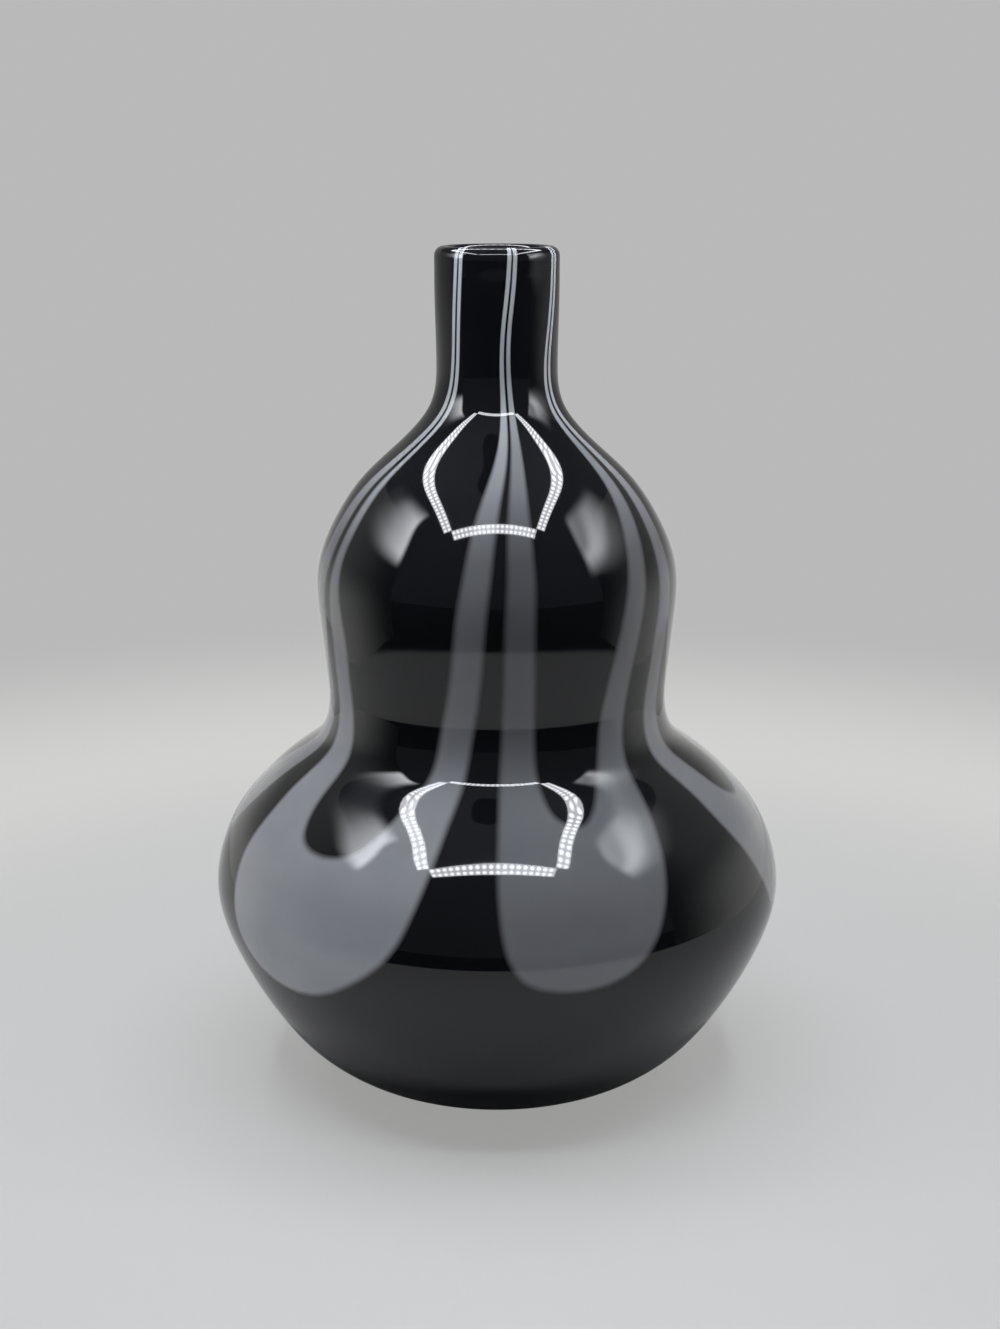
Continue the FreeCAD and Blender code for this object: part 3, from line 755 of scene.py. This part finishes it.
both = addNode(tree, "ShaderNodeMixShader", None,
               {0: strength.outputs[0], 1: board.outputs["BSDF"],
                2: glow.outputs["Emission"]})
addNode(tree, "ShaderNodeOutputMaterial", None, {"Surface": both.outputs[0]})
flatPiece("floor", level(-side, side, -side, side, 0)[::-1], floorMaterial, True)

# black board for the roof, matt and faintly lit, with a dark round opening
roofLook = {
    "height": 0.401,
    "edges": (-0.15, 0.13, -0.2, 0.12),    # in X, then in Y
    "opening": (-0.017, -0.058),
    "openingRadii": (0.026, 0.031),
    "boardStrength": 0.28,
    "colour": "#d9dde6",
}
roofMaterial, tree = newMaterial("black_board_matt")
where = addNode(tree, "ShaderNodeNewGeometry").outputs["Position"]
offset = addNode(tree, "ShaderNodeVectorMath",
                 {"operation": "SUBTRACT", 1: (*roofLook["opening"], roofLook["height"])},
                 {0: where})
apart = addNode(tree, "ShaderNodeVectorMath", {"operation": "LENGTH"}, {0: offset.outputs[0]})
board = addNode(tree, "ShaderNodeMapRange",
                {"From Min": roofLook["openingRadii"][0], "From Max": roofLook["openingRadii"][1],
                 "To Min": 0.0, "To Max": roofLook["boardStrength"]},
                {"Value": apart.outputs["Value"]})
glow = addNode(tree, "ShaderNodeEmission", {"Color": srgb(roofLook["colour"])},
               {"Strength": board.outputs["Result"]})
addNode(tree, "ShaderNodeOutputMaterial", None, {"Surface": glow.outputs["Emission"]})
flatPiece("roof", level(*roofLook["edges"], roofLook["height"]), roofMaterial)

# lamp strips: two rows of small lamps on a faintly lit backing, each strip by its X and Y edges
lampLook = {
    "colour": "#f6f8ff",
    "strength": 26.0,
    "backingShare": 0.4,
    "pitch": 0.0145,
    "dotRadii": (0.24, 0.42),    # in pitches
    "below": 0.001,
    "strips": {
        "lampLeft": (-0.178, -0.147, -0.190, 0.115),
        "lampRight": (0.126, 0.156, -0.190, 0.115),
        "lampFront": (-0.150, 0.129, -0.227, -0.192),
        "lampBack": (-0.147, 0.126, 0.088, 0.115),
    },
}
lampMaterial, tree = newMaterial("lamp_strip")
coords = addNode(tree, "ShaderNodeTexCoord").outputs["UV"]
scaled = addNode(tree, "ShaderNodeVectorMath", {"operation": "FRACTION"}, {0: coords})
centred = addNode(tree, "ShaderNodeVectorMath", {"operation": "SUBTRACT", 1: (0.5, 0.5, 0)},
                  {0: scaled.outputs[0]})
spread = addNode(tree, "ShaderNodeVectorMath", {"operation": "LENGTH"}, {0: centred.outputs[0]})
dot = addNode(tree, "ShaderNodeMapRange",
              {"From Min": lampLook["dotRadii"][0], "From Max": lampLook["dotRadii"][1],
               "To Min": 1.0, "To Max": lampLook["backingShare"]},
              {"Value": spread.outputs["Value"]})
power = addNode(tree, "ShaderNodeMath", {"operation": "MULTIPLY", 1: lampLook["strength"]},
                {0: dot.outputs["Result"]})
glow = addNode(tree, "ShaderNodeEmission", {"Color": srgb(lampLook["colour"])},
               {"Strength": power.outputs[0]})
addNode(tree, "ShaderNodeOutputMaterial", None, {"Surface": glow.outputs["Emission"]})
for name, (x0, x1, y0, y1) in lampLook["strips"].items():
    piece = flatPiece(name, level(x0, x1, y0, y1, roofLook["height"] - lampLook["below"]),
                      lampMaterial)
    layer = piece.data.uv_layers.new(name="lamps")
    lengthwise = (y1 - y0) > (x1 - x0)
    for loop in piece.data.loops:
        x, y, _ = piece.data.vertices[loop.vertex_index].co
        along, across = (y - y0, x - x0) if lengthwise else (x - x0, y - y0)
        width = (x1 - x0) if lengthwise else (y1 - y0)
        layer.data[loop.index].uv = (along / lampLook["pitch"], 2 * across / width)

# creased white cloth on both sides, lit in soft patches and clear round them. A patch starts at
# its front edge in Y and fades towards the back, and in Z it runs from a low to a high edge.
patchLook = {
    "colour": "#eef1f6",
    "strength": 12.0,
    "aside": 0.2,
    "edges": (-0.2, 0.18, 0.14, 0.4),    # in Y, then in Z
    "foldSize": 222.2,    # millimetres
    "foldReach": (0.0, 0.16, 0.13),
    "fadeBack": (0.10, -0.10),
    "fadePower": 1.6,
    "frontEdge": (-0.125, -0.098),
    "lowEdge": (0.225, 0.275),
    "highEdge": (0.40, 0.345),
    "streakyGlowSize": 125.0,    # millimetres
    "streakyGlowFrom": (0.36, 0.66),
    "streakyGlowShare": 0.35,
}
patchMaterial, tree = newMaterial("creased_cloth_lit")
where = addNode(tree, "ShaderNodeNewGeometry").outputs["Position"]
folds = addNode(tree, "ShaderNodeTexNoise",
                {"Scale": 1 / (patchLook["foldSize"] * mm), "Detail": 0.5, "Distortion": 0.2},
                {"Vector": where})
creased = addNode(tree, "ShaderNodeVectorMath",
                  {"operation": "MULTIPLY_ADD", 1: patchLook["foldReach"],
                   2: [-reach / 2 for reach in patchLook["foldReach"]]},
                  {0: folds.outputs["Color"]})
moved = addNode(tree, "ShaderNodeVectorMath", {"operation": "ADD"},
                {0: where, 1: creased.outputs[0]})
apart = addNode(tree, "ShaderNodeSeparateXYZ", None, {0: moved.outputs[0]})
rise = addNode(tree, "ShaderNodeMapRange",
               {"From Min": patchLook["fadeBack"][0], "From Max": patchLook["fadeBack"][1]},
               {"Value": apart.outputs["Y"]})
fold = addNode(tree, "ShaderNodeMath", {"operation": "POWER", 1: patchLook["fadePower"]},
               {0: rise.outputs["Result"]})
borders = []
for key, axis in (("frontEdge", "Y"), ("lowEdge", "Z"), ("highEdge", "Z")):
    edge = addNode(tree, "ShaderNodeMapRange",
                   {"interpolation_type": "SMOOTHSTEP", "From Min": patchLook[key][0],
                    "From Max": patchLook[key][1]}, {"Value": apart.outputs[axis]})
    borders.append(edge.outputs["Result"])
# streaks of stronger and weaker glow across the patches: painted light on the creased cloth
streaks = addNode(tree, "ShaderNodeTexNoise",
                  {"Scale": 1 / (patchLook["streakyGlowSize"] * mm), "Detail": 0.0, "Distortion": 0.3},
                  {"Vector": where})
streakyGlow = addNode(tree, "ShaderNodeMapRange",
               {"interpolation_type": "SMOOTHSTEP", "From Min": patchLook["streakyGlowFrom"][0],
                "From Max": patchLook["streakyGlowFrom"][1], "To Min": patchLook["streakyGlowShare"]},
               {"Value": streaks.outputs["Fac"]})
power = addNode(tree, "ShaderNodeMath", {"operation": "MULTIPLY", 1: patchLook["strength"]},
                {0: fold.outputs[0]}).outputs[0]
for factor in borders + [streakyGlow.outputs["Result"]]:
    power = addNode(tree, "ShaderNodeMath", {"operation": "MULTIPLY"},
                    {0: power, 1: factor}).outputs[0]
glow = addNode(tree, "ShaderNodeEmission", {"Color": srgb(patchLook["colour"])},
               {"Strength": power})
clear = addNode(tree, "ShaderNodeBsdfTransparent")
both = addNode(tree, "ShaderNodeAddShader", None,
               {0: glow.outputs["Emission"], 1: clear.outputs["BSDF"]})
addNode(tree, "ShaderNodeOutputMaterial", None, {"Surface": both.outputs[0]})
for name, turn in (("patchLeft", -1), ("patchRight", 1)):
    flatPiece(name, upright(turn * patchLook["aside"], *patchLook["edges"]), patchMaterial)

# matt pale walls behind the vase, darker towards the front and higher up
wallLook = {
    "colour": "#d4d4d2",
    "aside": 0.34,
    "behind": 0.36,
    "front": -0.16,
    "height": 0.42,
    "depthReach": (-0.16, 0.06),
    "depthStrength": (0.04, 1.0),
    "heightReach": (0.07, 0.22),
    "heightStrength": (1.05, 0.4),
}
wallMaterial, tree = newMaterial("pale_wall_matt")
where = addNode(tree, "ShaderNodeNewGeometry").outputs["Position"]
apart = addNode(tree, "ShaderNodeSeparateXYZ", None, {0: where})
depth = addNode(tree, "ShaderNodeMapRange",
                {"interpolation_type": "SMOOTHSTEP", "From Min": wallLook["depthReach"][0],
                 "From Max": wallLook["depthReach"][1], "To Min": wallLook["depthStrength"][0],
                 "To Max": wallLook["depthStrength"][1]}, {"Value": apart.outputs["Y"]})
low = addNode(tree, "ShaderNodeMapRange",
              {"interpolation_type": "SMOOTHSTEP", "From Min": wallLook["heightReach"][0],
               "From Max": wallLook["heightReach"][1], "To Min": wallLook["heightStrength"][0],
               "To Max": wallLook["heightStrength"][1]}, {"Value": apart.outputs["Z"]})
wallGlow = addNode(tree, "ShaderNodeMath", {"operation": "MULTIPLY"},
                   {0: depth.outputs["Result"], 1: low.outputs["Result"]})
glow = addNode(tree, "ShaderNodeEmission", {"Color": srgb(wallLook["colour"])},
               {"Strength": wallGlow.outputs[0]})
addNode(tree, "ShaderNodeOutputMaterial", None, {"Surface": glow.outputs["Emission"]})
side, behind, top = wallLook["aside"], wallLook["behind"], wallLook["height"]
flatPiece("backWall", [(-side, behind, 0), (side, behind, 0), (side, behind, top),
                       (-side, behind, top)], wallMaterial)
for name, turn in (("sideLeft", -1), ("sideRight", 1)):
    flatPiece(name, upright(turn * side, wallLook["front"], behind, 0, top), wallMaterial)

# the sky behind the floor when seen directly, and the dim grey that the room gives the glass
skyLook = {
    "seen": "#b9b9b9",
    "around": "#4c4e52",
}
world = bpy.data.worlds.new("room")
bpy.context.scene.world = world
world.use_nodes = True
tree = world.node_tree
tree.nodes.clear()
path = addNode(tree, "ShaderNodeLightPath")
seenSky = addNode(tree, "ShaderNodeMix",
                  {"data_type": "RGBA", 6: srgb(skyLook["around"]), 7: srgb(skyLook["seen"])},
                  {0: path.outputs["Is Camera Ray"]})
background = addNode(tree, "ShaderNodeBackground", {"Strength": 1.0},
                     {"Color": seenSky.outputs[2]})
addNode(tree, "ShaderNodeOutputWorld", None, {"Surface": background.outputs["Background"]})

cameraLook = {
    "place": (0.0008, -0.521, 0.251),
    "pitch": 75.555,
    "sensor": 36,
    "lens": 52.77,
}
camera = bpy.data.objects.new("camera", bpy.data.cameras.new("camera"))
bpy.context.collection.objects.link(camera)
camera.location = cameraLook["place"]
camera.rotation_euler = (math.radians(cameraLook["pitch"]), 0, 0)
camera.data.sensor_width = cameraLook["sensor"]
camera.data.lens = cameraLook["lens"]
bpy.context.scene.camera = camera
bpy.context.scene.view_settings.view_transform = "Standard"
print("room done")
